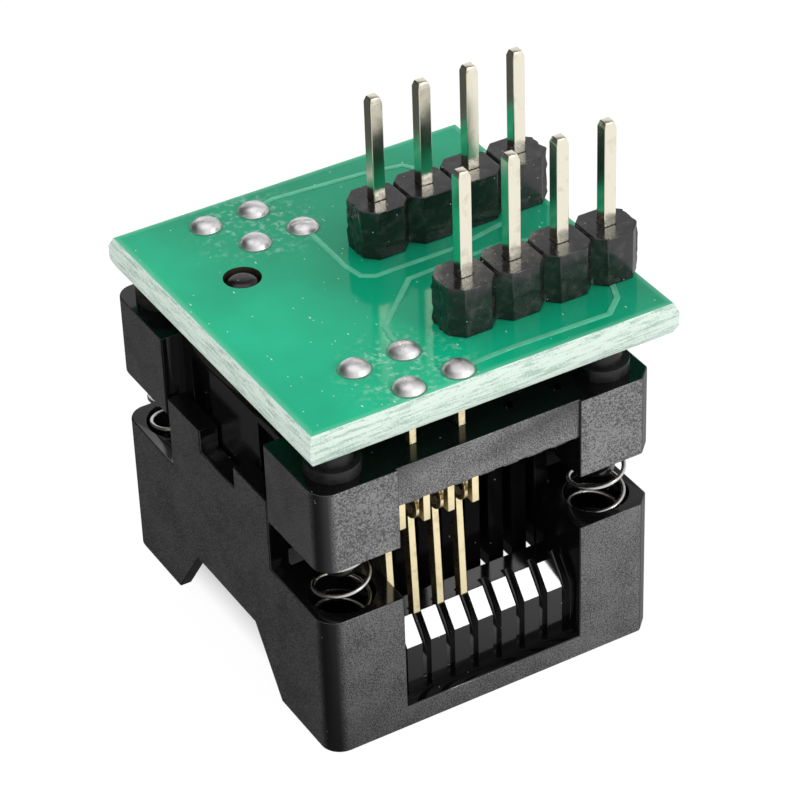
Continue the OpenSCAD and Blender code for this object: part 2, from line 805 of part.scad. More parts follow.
// One header: eight-sided segments in a row, each with a square hole
module header_block(side) {
    hole = pin_side + 2 * fit;
    half_d = header_d / 2;
    end = pins * pin_pitch / 2 - header_trim;
    front = [
        [-end, header_cut - half_d],
        for (i = [0 : pins - 1])
        let (
            left = max(-end, pin_x(i) - field_x - pin_pitch / 2),
            right = min(end, pin_x(i) - field_x + pin_pitch / 2)
        )
        each [[left + header_cut, -half_d], [right - header_cut, -half_d], [right, header_cut - half_d]]
    ];
    back = [for (p = reversed(front)) [p[0], -p[1]]];
    color(plastic)
    translate([field_x, pin_y(side), board_top_z])
        difference() {
            linear_extrude(header_h)
                difference() {
                    polygon(concat(front, back));
                    for (i = [0 : pins - 1])
                        translate([pin_x(i) - field_x, 0])
                            square(hole, center = true);
                }
            for (i = [1 : pins - 1])
                translate([pin_x(i) - field_x - pin_pitch / 2, 0, header_h])
                    rotate([0, 45, 0])
                        cube(header_groove * sqrt(2) * [1, 0, 1] + [0, 2 * header_d, 0], center = true);
        }
}

// A square pin with four tapered faces at its tip
module header_pin(side, i) {
    half = pin_side / 2;
    outline = [
        [-half, board_z - pin_below], [half, board_z - pin_below], [half, pin_top_z - tip_l],
        [tip_side / 2, pin_top_z], [-tip_side / 2, pin_top_z], [-half, pin_top_z - tip_l]
    ];
    color(tin)
    translate([pin_x(i), pin_y(side), 0])
        intersection() {
            upright(BACK, 0, pin_side)
                polygon(outline);
            rotate([0, 0, 90])
                upright(BACK, 0, pin_side)
                    polygon(outline);
        }
}

cover();
socket_base();
coil_spring(-1, FRONT, turn_front_left);  // spring_front_left
coil_spring(1, FRONT, turn_front_right);  // spring_front_right
coil_spring(-1, BACK, turn_back_left);  // spring_back_left
coil_spring(1, BACK, turn_back_right);  // spring_back_right
contact_blade(FRONT, 0);  // contact_blade_front_1
contact_blade(FRONT, 1);  // contact_blade_front_2
contact_blade(FRONT, 2);  // contact_blade_front_3
contact_blade(FRONT, 3);  // contact_blade_front_4
contact_blade(BACK, 0);  // contact_blade_back_1
contact_blade(BACK, 1);  // contact_blade_back_2
contact_blade(BACK, 2);  // contact_blade_back_3
contact_blade(BACK, 3);  // contact_blade_back_4
contact_lever(FRONT, 0);  // contact_lever_front_1
contact_lever(FRONT, 1);  // contact_lever_front_2
contact_lever(FRONT, 2);  // contact_lever_front_3
contact_lever(FRONT, 3);  // contact_lever_front_4
contact_lever(BACK, 0);  // contact_lever_back_1
contact_lever(BACK, 1);  // contact_lever_back_2
contact_lever(BACK, 2);  // contact_lever_back_3
contact_lever(BACK, 3);  // contact_lever_back_4
contact_solder();
circuit_board();
header_solder();
header_block(FRONT);  // header_block_front
header_block(BACK);  // header_block_back
header_pin(FRONT, 0);  // header_pin_1
header_pin(FRONT, 1);  // header_pin_2
header_pin(FRONT, 2);  // header_pin_3
header_pin(FRONT, 3);  // header_pin_4
header_pin(BACK, 3);  // header_pin_5
header_pin(BACK, 2);  // header_pin_6
header_pin(BACK, 1);  // header_pin_7
header_pin(BACK, 0);  // header_pin_8
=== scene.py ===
"""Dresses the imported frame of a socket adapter: moulded socket, sprung contacts, green board, solder and pins."""
import json
import math
import random

import bmesh
import bpy
from bpy.props import FloatProperty, FloatVectorProperty, PointerProperty
from bpy.types import Operator, Panel, PropertyGroup
from mathutils import Matrix, Vector, noise
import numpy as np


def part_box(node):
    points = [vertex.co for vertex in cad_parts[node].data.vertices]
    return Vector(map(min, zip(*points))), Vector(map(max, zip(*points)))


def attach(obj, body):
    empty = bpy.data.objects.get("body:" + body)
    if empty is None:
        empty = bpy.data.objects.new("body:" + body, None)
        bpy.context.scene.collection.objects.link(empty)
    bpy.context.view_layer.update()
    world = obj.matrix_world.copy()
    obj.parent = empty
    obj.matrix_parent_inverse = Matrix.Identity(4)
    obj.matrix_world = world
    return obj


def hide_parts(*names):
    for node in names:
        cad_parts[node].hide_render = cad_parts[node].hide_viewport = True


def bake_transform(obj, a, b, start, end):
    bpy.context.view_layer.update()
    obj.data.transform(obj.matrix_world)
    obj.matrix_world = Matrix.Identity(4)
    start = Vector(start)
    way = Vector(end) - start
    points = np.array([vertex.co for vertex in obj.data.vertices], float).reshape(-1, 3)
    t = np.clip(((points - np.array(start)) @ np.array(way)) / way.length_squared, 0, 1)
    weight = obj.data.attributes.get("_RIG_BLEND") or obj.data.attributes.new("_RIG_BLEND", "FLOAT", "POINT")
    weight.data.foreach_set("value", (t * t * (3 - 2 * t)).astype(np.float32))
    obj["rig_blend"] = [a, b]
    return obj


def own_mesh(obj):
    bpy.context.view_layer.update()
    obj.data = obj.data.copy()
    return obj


bl_info = {
    "name": "Socket Adapter",
    "version": (1, 0, 0),
    "blender": (4, 5, 0),
    "location": "View3D > Sidebar > Adapter",
    "description": "Dresses the packed frame of a small-outline socket adapter",
    "category": "Object",
}

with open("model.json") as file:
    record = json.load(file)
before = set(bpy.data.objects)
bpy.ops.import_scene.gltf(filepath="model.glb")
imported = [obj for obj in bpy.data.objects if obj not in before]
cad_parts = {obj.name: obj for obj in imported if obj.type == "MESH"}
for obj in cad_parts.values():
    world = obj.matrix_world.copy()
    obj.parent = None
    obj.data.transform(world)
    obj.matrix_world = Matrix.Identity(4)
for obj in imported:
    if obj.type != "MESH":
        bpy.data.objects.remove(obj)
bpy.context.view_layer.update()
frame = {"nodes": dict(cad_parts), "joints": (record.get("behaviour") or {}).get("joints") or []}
NODES = frame["nodes"]
JOINTS = {joint["name"]: joint for joint in frame["joints"]}

MM = 0.001
UP = Vector((0, 0, 1))
SIDES = {"front": -1, "back": 1}
CONTACTS = range(1, 5)
HEADER_PINS = range(1, 9)
BOARD_LOW, BOARD_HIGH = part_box("circuit_board")
BOARD_TOP = BOARD_HIGH.z
# Room that the scored edges leave beside the board's top face
SCORE = 0.12 * MM
# Middles of the two groups of solder joints on the board
FLUX_X = -2.5 * MM
FLUX_Y = (-6.9 * MM, 7.1 * MM)

# Merging of the frame's loose triangles, and what still counts as one flat face or as a smooth bend
MERGE = 0.0005 * MM
FLAT = math.radians(0.2)
SMOOTH = math.radians(30)
# Most that a bevel takes of the room beside its edge, and the least part of a full bevel that is shaded smooth
BEVEL_ROOM = 0.42
LEAST_BEVEL = 0.05
# Least part of its normal along an axis for a face that counts as square to it, and for one that only faces its way
SQUARE = 0.9
FACING = 0.5


def linear(code):
    """Turn an sRGB hex colour into linear RGBA."""
    parts = [int(code[i:i + 2], 16) / 255 for i in (1, 3, 5)]
    return [c / 12.92 if c <= 0.04045 else ((c + 0.055) / 1.055) ** 2.4 for c in parts] + [1.0]


def colour(name, description, code):
    """A colour that a user may change."""
    return FloatVectorProperty(
        name=name, description=description, default=linear(code), size=4, subtype="COLOR", min=0, max=1)


def length(name, description, millimetres):
    """A length that a user may change."""
    return FloatProperty(
        name=name, description=description, default=millimetres * MM, unit="LENGTH", min=0, precision=5)


class MouldingLook(PropertyGroup):
    """Black mouldings: cover, base and header insulators"""
    plastic: colour("Plastic", "Colour of the socket's polyester", "#2b2a2b")
    glint: colour("Grain lips", "Colour of the worn lips of the grain", "#4a4949")
    smooth: colour("Smooth plastic", "Colour of the polyester inside the socket", "#0e0d0e")
    header: colour("Header plastic", "Colour of the header insulators", "#181718")
    edge: length("Edge rounding", "Rounding of the socket's outer edges", 0.09)
    inner_edge: length("Inner rounding", "Rounding of the comb, ribs and other inner edges", 0.022)
    header_edge: length("Header rounding", "Rounding of the header insulators", 0.05)
    grain: length("Grain", "Width of one pit of the spark-eroded grain", 0.07)


class BoardLook(PropertyGroup):
    """Adapter board: solder mask, copper under it and the cut laminate"""
    mask: colour("Solder mask", "Colour of the mask over bare laminate", "#10b285")
    border: colour("Border", "Colour of the mask where it thins towards the cut edges", "#86dcb8")
    copper: colour("Masked copper", "Colour of the mask over copper", "#5cc49e")
    laminate: colour("Laminate", "Colour of the cut glass-epoxy edge", "#eafaf0")
    fibre: colour("Fibre", "Colour of the shaded glass layers in the cut", "#b2cdc0")
    trace_width: length("Trace width", "Width of a copper trace", 0.3)
    trace_height: length("Trace height", "Height of a trace with its mask over the board", 0.035)


class MetalLook(PropertyGroup):
    """Contacts, springs, pins and solder"""
    gold: colour("Gold", "Colour of the gold flash on the contacts", "#fff0c4")
    tin: colour("Tin", "Colour of the plating on the header pins", "#f2ecd9")
    steel: colour("Spring steel", "Colour of the spring wire", "#d2d0cd")
    solder: colour("Solder", "Colour of the frozen solder", "#fbf8fa")
    contact_edge: length("Contact edges", "Rounding of the stamped strip's edges", 0.03)
    pin_edge: length("Pin edges", "Rounding of the square pins' edges", 0.04)


class StageLook(PropertyGroup):
    """Camera, lamp and surroundings"""
    azimuth: FloatProperty(
        name="Azimuth", description="Camera's turn about the adapter, from the front",
        default=math.radians(-29.51), subtype="ANGLE")
    elevation: FloatProperty(
        name="Elevation", description="Camera's height above the floor, as an angle",
        default=math.radians(35.42), subtype="ANGLE")
    roll: FloatProperty(
        name="Roll", description="Camera's tilt about its own axis", default=math.radians(-2.09), subtype="ANGLE")
    distance: length("Distance", "Camera's distance from its target", 143.9)
    lens: FloatProperty(
        name="Lens", description="Focal length on a 36 mm wide sensor", default=149.0, subtype="DISTANCE_CAMERA")
    key_power: FloatProperty(
        name="Key power", description="Power of the lamp", default=0.45, subtype="POWER")
    key_size: length("Key size", "Side of the square lamp", 80.0)
    ambient: FloatProperty(
        name="Ambient", description="Strength of the light from all round", default=0.84, min=0, max=1)


# Camera target, and the lamp's direction and distance from it
TARGET = Vector((-3.96, -8.81, 17.59)) * MM
KEY_WAY = Vector((0.41, -0.79, 0.45)).normalized()
KEY_DISTANCE = 500 * MM


# Materials

# Sockets of a Mix node by place, because those for numbers and for colours have the same names
FACTOR, NUMBER_A, NUMBER_B, COLOUR_A, COLOUR_B = 0, 2, 3, 6, 7
MIXED = 2
COLOURS = {"data_type": "RGBA"}


def add(tree, kind, settings=None, values=None, links=None):
    """Add a shader node with its settings, socket values and links, each from a socket or a node's first output."""
    node = tree.nodes.new("ShaderNode" + kind)
    for name, value in (settings or {}).items():
        setattr(node, name, value)
    for socket, value in (values or {}).items():
        node.inputs[socket].default_value = value
    for socket, source in (links or {}).items():
        output = source.outputs[0] if isinstance(source, bpy.types.Node) else source
        tree.links.new(output, node.inputs[socket])
    return node


def start_material(name):
    """Begin an empty material that reads Object coordinates."""
    material = bpy.data.materials.new(name)
    material.use_nodes = True
    tree = material.node_tree
    tree.nodes.clear()
    return material, tree, add(tree, "TexCoord").outputs["Object"]


def per_mm(size):
    """Scale of a pattern in metres whose grain is this many millimetres wide."""
    return 1 / (size * MM)


def specks(tree, place, size, share):
    """Sparse dust: a mask of 0 and 1 with grains of a size in millimetres, over about a share of the surface."""
    grains = add(tree, "TexVoronoi", {"feature": "F1"}, {"Scale": per_mm(4 * size)}, {"Vector": place})
    near = add(
        tree, "MapRange", values={"From Min": 0.16, "From Max": 0.12}, links={"Value": grains.outputs["Distance"]})
    pick = add(tree, "SeparateColor", links={0: grains.outputs["Color"]})
    chosen = add(tree, "Math", {"operation": "LESS_THAN"}, {1: share}, {0: pick.outputs[0]})
    return add(tree, "Math", {"operation": "MULTIPLY"}, links={0: near, 1: chosen}).outputs[0]


def spark_eroded_pbt(look, name, shine_index):
    """Glass-filled PBT from a spark-eroded mould: dull pits between lips that shine grey; painted shade on corners."""
    material, tree, place = start_material("pbt_spark_eroded_" + name)
    # Painted shade: darker and less shiny where the surface faces between the x and y axes, on the rounded corners
    facing = add(tree, "SeparateXYZ", links={0: add(tree, "TexCoord").outputs["Normal"]})
    turned = add(tree, "Math", {"operation": "MULTIPLY"}, links={0: facing.outputs[0], 1: facing.outputs[1]})
    turned = add(tree, "Math", {"operation": "ABSOLUTE"}, links={0: turned})
    wear_and_painted_shade = add(tree, "MapRange", values={"From Min": 0.06, "From Max": 0.4}, links={"Value": turned})
    pits = add(
        tree, "TexNoise", None, {"Scale": per_mm(look.grain / MM), "Detail": 2.0, "Roughness": 0.5}, {"Vector": place})
    wear = add(tree, "TexNoise", None, {"Scale": per_mm(1.6), "Detail": 3.0}, {"Vector": place})
    height = add(tree, "Math", {"operation": "MULTIPLY_ADD"}, {1: 0.25}, {0: wear, 2: pits})
    lips = add(tree, "MapRange", values={"From Min": 0.53, "From Max": 0.71}, links={"Value": height})
    tone = add(tree, "Mix", COLOURS, {COLOUR_A: look.plastic, COLOUR_B: look.glint}, {FACTOR: lips})
    tone = add(tree, "Mix", COLOURS, {COLOUR_B: look.smooth}, {FACTOR: wear_and_painted_shade, COLOUR_A: tone.outputs[MIXED]})
    dust = specks(tree, place, 0.07, 0.05)
    tone = add(tree, "Mix", COLOURS, {COLOUR_B: linear("#75736f")}, {FACTOR: dust, COLOUR_A: tone.outputs[MIXED]})
    shine = add(tree, "MapRange", values={"To Min": 0.3, "To Max": 1.0}, links={"Value": lips})
    shine = add(tree, "Mix", None, {NUMBER_B: 0.2}, {FACTOR: wear_and_painted_shade, NUMBER_A: shine})
    relief = add(tree, "Bump", None, {"Strength": 0.8, "Distance": 0.02 * MM}, {"Height": pits})
    # The level set here is about the linked one's mean, for an export that drops the link
    shader = add(
        tree, "BsdfPrincipled", None, {"IOR": shine_index, "Roughness": 0.4, "Specular IOR Level": 0.6},
        {"Base Color": tone.outputs[MIXED], "Specular IOR Level": shine, "Normal": relief})
    add(tree, "OutputMaterial", links={"Surface": shader})
    return material


def polished_pbt(look):
    """The same PBT from smooth steel: deep black and glossy, with faint flow marks and a little dust."""
    material, tree, place = start_material("pbt_smooth")
    flow = add(tree, "TexNoise", None, {"Scale": per_mm(0.5), "Detail": 4.0}, {"Vector": place})
    rough = add(tree, "MapRange", values={"To Min": 0.09, "To Max": 0.15}, links={"Value": flow})
    dust = specks(tree, place, 0.07, 0.03)
    tone = add(tree, "Mix", COLOURS, {COLOUR_A: look.smooth, COLOUR_B: linear("#8d8a86")}, {FACTOR: dust})
    shader = add(
        tree, "BsdfPrincipled", None, {"Specular IOR Level": 0.65, "IOR": 1.5},
        {"Base Color": tone.outputs[MIXED], "Roughness": rough})
    add(tree, "OutputMaterial", links={"Surface": shader})
    return material


def under_board_shade_pbt(look):
    """PBT on the feet under the board: deep black with hardly any shine, painted shade from the board above."""
    material, tree, place = start_material("pbt_painted_shade_under_board")
    film = add(tree, "TexNoise", None, {"Scale": per_mm(0.25), "Detail": 4.0}, {"Vector": place})
    rough = add(
        tree, "MapRange", values={"From Min": 0.3, "From Max": 0.7, "To Min": 0.32, "To Max": 0.55},
        links={"Value": film})
    tone = add(tree, "Mix", COLOURS, {COLOUR_A: look.smooth, COLOUR_B: look.plastic}, {FACTOR: film})
    shader = add(
        tree, "BsdfPrincipled", None, {"Specular IOR Level": 0.35, "IOR": 1.5},
        {"Base Color": tone.outputs[MIXED], "Roughness": rough})
    add(tree, "OutputMaterial", links={"Surface": shader})
    return material


def header_pbt(look):
    """PBT header strip: glossy black with scuffs, patches worn grey by handling and a little pale dust."""
    material, tree, place = start_material("pbt_header")
    scuffs = add(tree, "TexNoise", None, {"Scale": per_mm(0.45), "Detail": 4.0}, {"Vector": place})
    rough = add(
        tree, "MapRange", values={"From Min": 0.35, "From Max": 0.75, "To Min": 0.1, "To Max": 0.36},
        links={"Value": scuffs})
    patches = add(tree, "TexNoise", None, {"Scale": per_mm(0.5), "Detail": 4.0, "Roughness": 0.6}, {"Vector": place})
    wear_and_painted_shade = add(
        tree, "MapRange", values={"From Min": 0.5, "From Max": 0.8, "To Min": 0.0, "To Max": 0.25},
        links={"Value": patches})
    tone = add(tree, "Mix", COLOURS, {COLOUR_A: look.header, COLOUR_B: linear("#7b7976")}, {FACTOR: wear_and_painted_shade})
    dust = specks(tree, place, 0.06, 0.07)
    tone = add(tree, "Mix", COLOURS, {COLOUR_B: linear("#b5b2ac")}, {FACTOR: dust, COLOUR_A: tone.outputs[MIXED]})
    relief = add(tree, "Bump", None, {"Strength": 0.15, "Distance": 0.01 * MM}, {"Height": scuffs})
    shader = add(
        tree, "BsdfPrincipled", None, {"Specular IOR Level": 0.55, "IOR": 1.55},
        {"Base Color": tone.outputs[MIXED], "Roughness": rough, "Normal": relief})
    add(tree, "OutputMaterial", links={"Surface": shader})
    return material


def solder_mask(look):
    """Green epoxy mask on laminate: glossy, painted light at front left, paler edges, lint and crumbs of flux."""
    material, tree, place = start_material("solder_mask")
    depth = add(tree, "TexNoise", None, {"Scale": per_mm(4.0), "Detail": 3.0}, {"Vector": place})
    # Painted light: the mask is lighter towards the front left and darker towards the back right
    drawn = add(tree, "VectorMath", {"operation": "DOT_PRODUCT"}, {1: (-0.8, -0.5, 0)}, {0: place})
    painted_light_gradient = add(
        tree, "MapRange", values={"From Min": -MM, "From Max": 6 * MM, "To Min": 0.8, "To Max": 1.2},
        links={"Value": drawn.outputs["Value"]})
    shade = add(
        tree, "MapRange", values={"From Min": 0.3, "From Max": 0.7, "To Min": 0.9, "To Max": 1.1},
        links={"Value": depth})
    value = add(tree, "Math", {"operation": "MULTIPLY"}, links={0: shade, 1: painted_light_gradient})
    green = add(tree, "HueSaturation", None, {"Color": look.mask}, {"Value": value})
    above = add(tree, "VectorMath", {"operation": "SUBTRACT"}, {1: BOARD_LOW}, {0: place})
    below = add(tree, "VectorMath", {"operation": "SUBTRACT"}, {0: BOARD_HIGH}, {1: place})
    inward = add(tree, "VectorMath", {"operation": "MINIMUM"}, links={0: above, 1: below})
    inward = add(tree, "SeparateXYZ", links={0: inward.outputs[0]})
    inside = add(tree, "Math", {"operation": "MINIMUM"}, links={0: inward.outputs[0], 1: inward.outputs[1]})
    border = add(
        tree, "MapRange", values={"From Min": SCORE, "From Max": SCORE + 0.4 * MM, "To Min": 0.6, "To Max": 0.0},
        links={"Value": inside})
    green = add(tree, "Mix", COLOURS, {COLOUR_B: look.border}, {FACTOR: border, COLOUR_A: green})
    lint = add(tree, "Mapping", None, {"Rotation": (0, 0, 0.6), "Scale": (1.0, 0.3, 1.0)}, {"Vector": place})
    dust = add(
        tree, "Math", {"operation": "MAXIMUM"},
        links={0: specks(tree, place, 0.06, 0.06), 1: specks(tree, lint.outputs[0], 0.05, 0.06)})
    residue = add(tree, "TexNoise", None, {"Scale": per_mm(0.34), "Detail": 4.0, "Roughness": 0.6}, {"Vector": place})
    white = add(
        tree, "MapRange", values={"From Min": 0.52, "From Max": 0.72, "To Min": 0.0, "To Max": 0.55},
        links={"Value": residue})
    for y in FLUX_Y:
        centre = (FLUX_X, y, BOARD_TOP)
        away = add(tree, "VectorMath", {"operation": "DISTANCE"}, {1: centre}, {0: place})
        near = add(
            tree, "MapRange", values={"From Min": 1.6 * MM, "From Max": 3.6 * MM, "To Min": 1.0, "To Max": 0.0},
            links={"Value": away.outputs["Value"]})
        crumbs = add(tree, "Math", {"operation": "MULTIPLY"}, links={0: near, 1: white})
        dust = add(tree, "Math", {"operation": "MAXIMUM"}, links={0: dust, 1: crumbs})
    tone = add(tree, "Mix", COLOURS, {COLOUR_B: linear("#d2f6e8")}, {FACTOR: dust, COLOUR_A: green.outputs[MIXED]})
    rough = add(tree, "MapRange", values={"To Min": 0.09, "To Max": 0.5}, links={"Value": dust})
    relief = add(tree, "Bump", None, {"Strength": 0.3, "Distance": 0.02 * MM}, {"Height": dust})
    shader = add(
        tree, "BsdfPrincipled", None, {"Specular IOR Level": 0.3, "IOR": 1.5},
        {"Base Color": tone.outputs[MIXED], "Roughness": rough, "Normal": relief})
    add(tree, "OutputMaterial", links={"Surface": shader})
    return material


def masked_copper(look):
    """Copper track under the mask: a paler, warmer green line that stands a little proud."""
    material, tree, place = start_material("masked_copper")
    depth = add(tree, "TexNoise", None, {"Scale": per_mm(0.6), "Detail": 3.0}, {"Vector": place})
    shade = add(
        tree, "MapRange", values={"From Min": 0.3, "From Max": 0.7, "To Min": 0.9, "To Max": 1.1},
        links={"Value": depth})
    green = add(tree, "HueSaturation", None, {"Color": look.copper}, {"Value": shade})
    shader = add(
        tree, "BsdfPrincipled", None, {"Specular IOR Level": 0.35, "IOR": 1.5, "Roughness": 0.12},
        {"Base Color": green})
    add(tree, "OutputMaterial", links={"Surface": shader})
    return material


def cut_laminate(look):
    """Sawn glass-epoxy: pale mint, with the grey-green layers of glass cloth as torn streaks along the cut."""
    material, tree, place = start_material("glass_epoxy_cut")
    along = add(tree, "Mapping", None, {"Scale": (per_mm(1.4), per_mm(1.4), per_mm(0.13))}, {"Vector": place})
    layers = add(tree, "TexNoise", None, {"Scale": 1.0, "Detail": 5.0, "Roughness": 0.65}, {"Vector": along})
    threads = add(tree, "TexNoise", None, {"Scale": per_mm(0.09), "Detail": 2.0}, {"Vector": place})
    mixed = add(tree, "Math", {"operation": "MULTIPLY_ADD"}, {1: 0.35}, {0: threads, 2: layers})
    streak = add(tree, "MapRange", values={"From Min": 0.64, "From Max": 0.82}, links={"Value": mixed})
    tone = add(tree, "Mix", COLOURS, {COLOUR_A: look.laminate, COLOUR_B: look.fibre}, {FACTOR: streak})
    relief = add(tree, "Bump", None, {"Strength": 0.6, "Distance": 0.03 * MM}, {"Height": mixed})
    shader = add(
        tree, "BsdfPrincipled", None, {"Roughness": 0.55, "Specular IOR Level": 0.4, "IOR": 1.52},
        {"Base Color": tone.outputs[MIXED], "Normal": relief})
    add(tree, "OutputMaterial", links={"Surface": shader})
    return material


def stained_and_shaded_resin():
    """Wall of a drilled hole: epoxy browned by the drill, painted dark as the shade inside the hole."""
    material, tree, place = start_material("resin_stained_painted_shade")
    stain_and_shade = add(tree, "TexNoise", None, {"Scale": per_mm(0.3), "Detail": 3.0}, {"Vector": place})
    tone = add(tree, "Mix", COLOURS, {COLOUR_A: linear("#120f0a"), COLOUR_B: linear("#3c3220")}, {FACTOR: stain_and_shade})
    shader = add(tree, "BsdfPrincipled", None, {"Roughness": 0.5, "IOR": 1.5}, {"Base Color": tone.outputs[MIXED]})
    add(tree, "OutputMaterial", links={"Surface": shader})
    return material


def gold_flash(look):
    """Gold flash on stamped bronze: warm pale satin metal, browner and duller where it is stained."""
    material, tree, place = start_material("gold_flash_stamped")
    stain = add(tree, "TexNoise", None, {"Scale": per_mm(0.5), "Detail": 4.0}, {"Vector": place})
    amount = add(
        tree, "MapRange", values={"From Min": 0.52, "From Max": 0.78, "To Min": 0.0, "To Max": 0.45},
        links={"Value": stain})
    tone = add(tree, "Mix", COLOURS, {COLOUR_A: look.gold, COLOUR_B: linear("#b98c48")}, {FACTOR: amount})
    rough = add(tree, "MapRange", values={"To Min": 0.2, "To Max": 0.38}, links={"Value": stain})
    shader = add(
        tree, "BsdfPrincipled", None, {"Metallic": 1.0},
        {"Base Color": tone.outputs[MIXED], "Roughness": rough})
    add(tree, "OutputMaterial", links={"Surface": shader})
    return material


def tin_plate(look):
    """Bright tin on drawn brass pins: warm white metal with drawing lines along the pin and a few stains."""
    material, tree, place = start_material("tin_plated_drawn")
    # Real drawing lines are too fine to show, so these are coarser
    along = add(tree, "Mapping", None, {"Scale": (per_mm(0.07), per_mm(0.07), per_mm(3.0))}, {"Vector": place})
    lines = add(tree, "TexNoise", None, {"Scale": 1.0, "Detail": 3.0}, {"Vector": along})
    stain = add(tree, "TexNoise", None, {"Scale": per_mm(0.7), "Detail": 5.0}, {"Vector": place})
    amount = add(
        tree, "MapRange", values={"From Min": 0.55, "From Max": 0.8, "To Min": 0.0, "To Max": 0.4},
        links={"Value": stain})
    tone = add(tree, "Mix", COLOURS, {COLOUR_A: look.tin, COLOUR_B: linear("#a59a7c")}, {FACTOR: amount})
    rough = add(tree, "MapRange", values={"To Min": 0.12, "To Max": 0.26}, links={"Value": stain})
    relief = add(tree, "Bump", None, {"Strength": 0.25, "Distance": 0.003 * MM}, {"Height": lines})
    shader = add(
        tree, "BsdfPrincipled", None, {"Metallic": 1.0},
        {"Base Color": tone.outputs[MIXED], "Roughness": rough, "Normal": relief})
    add(tree, "OutputMaterial", links={"Surface": shader})
    return material


def spring_steel(look):
    """Drawn spring wire: bright grey metal under a faint haze."""
    material, tree, place = start_material("spring_steel_drawn")
    # The lines that the die leaves are too fine to show, so this coarser haze stands for them
    haze = add(tree, "TexNoise", None, {"Scale": per_mm(0.12), "Detail": 3.0}, {"Vector": place})
    rough = add(tree, "MapRange", values={"To Min": 0.14, "To Max": 0.32}, links={"Value": haze})
    shader = add(tree, "BsdfPrincipled", None, {"Metallic": 1.0, "Base Color": look.steel}, {"Roughness": rough})
    add(tree, "OutputMaterial", links={"Surface": shader})
    return material


def frozen_solder(look):
    """Lead-free solder that froze as a dome: silver, bright where it flowed and frosted where it crystallised."""
    material, tree, place = start_material("solder_frozen")
    frost = add(tree, "TexNoise", None, {"Scale": per_mm(0.3), "Detail": 5.0}, {"Vector": place})
    rough = add(
        tree, "MapRange", values={"From Min": 0.35, "From Max": 0.7, "To Min": 0.32, "To Max": 0.52},
        links={"Value": frost})
    tint = add(
        tree, "MapRange", values={"From Min": 0.5, "From Max": 0.75, "To Min": 0.0, "To Max": 0.4},
        links={"Value": frost})
    tone = add(tree, "Mix", COLOURS, {COLOUR_A: look.solder, COLOUR_B: linear("#a19ca3")}, {FACTOR: tint})
    relief = add(tree, "Bump", None, {"Strength": 0.3, "Distance": 0.01 * MM}, {"Height": frost})
    shader = add(
        tree, "BsdfPrincipled", None, {"Metallic": 1.0},
        {"Base Color": tone.outputs[MIXED], "Roughness": rough, "Normal": relief})
    add(tree, "OutputMaterial", links={"Surface": shader})
    return material


def flux_and_painted_shade():
    """Flux residue round a joint: a film of clear varnish that darkens the green under it, and painted shade at the
    dome's foot.
    """
    material, tree, place = start_material("flux_residue_painted_shade")
    patch = add(tree, "TexNoise", None, {"Scale": per_mm(0.2), "Detail": 3.0}, {"Vector": place})
    tone = add(tree, "Mix", COLOURS, {COLOUR_A: linear("#2a6a50"), COLOUR_B: linear("#74ab90")}, {FACTOR: patch})
    shader = add(tree, "BsdfPrincipled", None, {"Roughness": 0.35, "IOR": 1.5}, {"Base Color": tone.outputs[MIXED]})
    add(tree, "OutputMaterial", links={"Surface": shader})
    return material


# Meshes

def merged_copy(*nodes):
    """A bmesh of frame nodes, their loose triangles merged into whole faces."""
    bm = bmesh.new()
    for name in nodes:
        bm.from_mesh(NODES[name].data)
    bmesh.ops.remove_doubles(bm, verts=bm.verts, dist=MERGE)
    bmesh.ops.dissolve_limit(bm, angle_limit=FLAT, verts=bm.verts, edges=bm.edges)
    return bm


def room_beside(edge):
    """Least distance from an edge to the other corners of its two faces."""
    start, end = (corner.co for corner in edge.verts)
    span = end - start
    room = span.length
    for face in edge.link_faces:
        for corner in face.verts:
            if corner not in edge.verts:
                along = min(max((corner.co - start).dot(span) / span.length_squared, 0), 1)
                room = min(room, (corner.co - start - along * span).length)
    return room


def mark_edges(bm, width, inner_width=None, is_outer=None):
    """Weight convex edges for a bevel of a width, less where the faces beside them are narrow."""
    layer = bm.edges.layers.float.new("bevel_weight_edge")
    for edge in bm.edges:
        if len(edge.link_faces) != 2:
            continue
        turn = edge.calc_face_angle_signed()
        if abs(turn) < SMOOTH:
            continue
        edge.smooth = False
        if turn > 0:
            wanted = width if is_outer is None or is_outer(edge) else inner_width
            edge[layer] = min(wanted, BEVEL_ROOM * room_beside(edge)) / width
            edge.smooth = edge[layer] > LEAST_BEVEL


def finished(bm, name, materials, slot, *nodes):
    """Turn a bmesh into a smooth-shaded piece that stands for frame nodes."""
    for face in bm.faces:
        face.smooth = True
    mesh = bpy.data.meshes.new(name)
    bm.to_mesh(mesh)
    bm.free()
    for material in materials:
        mesh.materials.append(material)
    piece = bpy.data.objects.new(name, mesh)
    bpy.context.scene.collection.objects.link(piece)
    if nodes:
        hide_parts(*nodes)
    return piece


def soften(piece, width, segments=2):
    """Round a piece's weighted edges."""
    bevel = piece.modifiers.new("Rounded edges", "BEVEL")
    bevel.limit_method = "WEIGHT"
    bevel.width = width
    bevel.segments = segments
    bevel.profile = 0.5
    bevel.use_clamp_overlap = False
    weld = piece.modifiers.new("Joined corners", "WELD")
    weld.merge_threshold = MERGE
    flat = piece.modifiers.new("Flat faces", "WEIGHTED_NORMAL")
    flat.mode = "FACE_AREA"
    flat.weight = 100
    flat.keep_sharp = True
    return piece


def middle_of(part):
    """Mean of an edge's or a face's corners."""
    return sum((corner.co for corner in part.verts), Vector()) / len(part.verts)


def wall_depth(point, half, radius):
    """Signed distance of a point from a rounded rectangle's outline, seen from above."""
    out = Vector((abs(point.x) - half.x + radius, abs(point.y) - half.y + radius))
    beyond = Vector((max(out.x, 0), max(out.y, 0))).length
    return beyond + min(max(out.x, out.y), 0) - radius


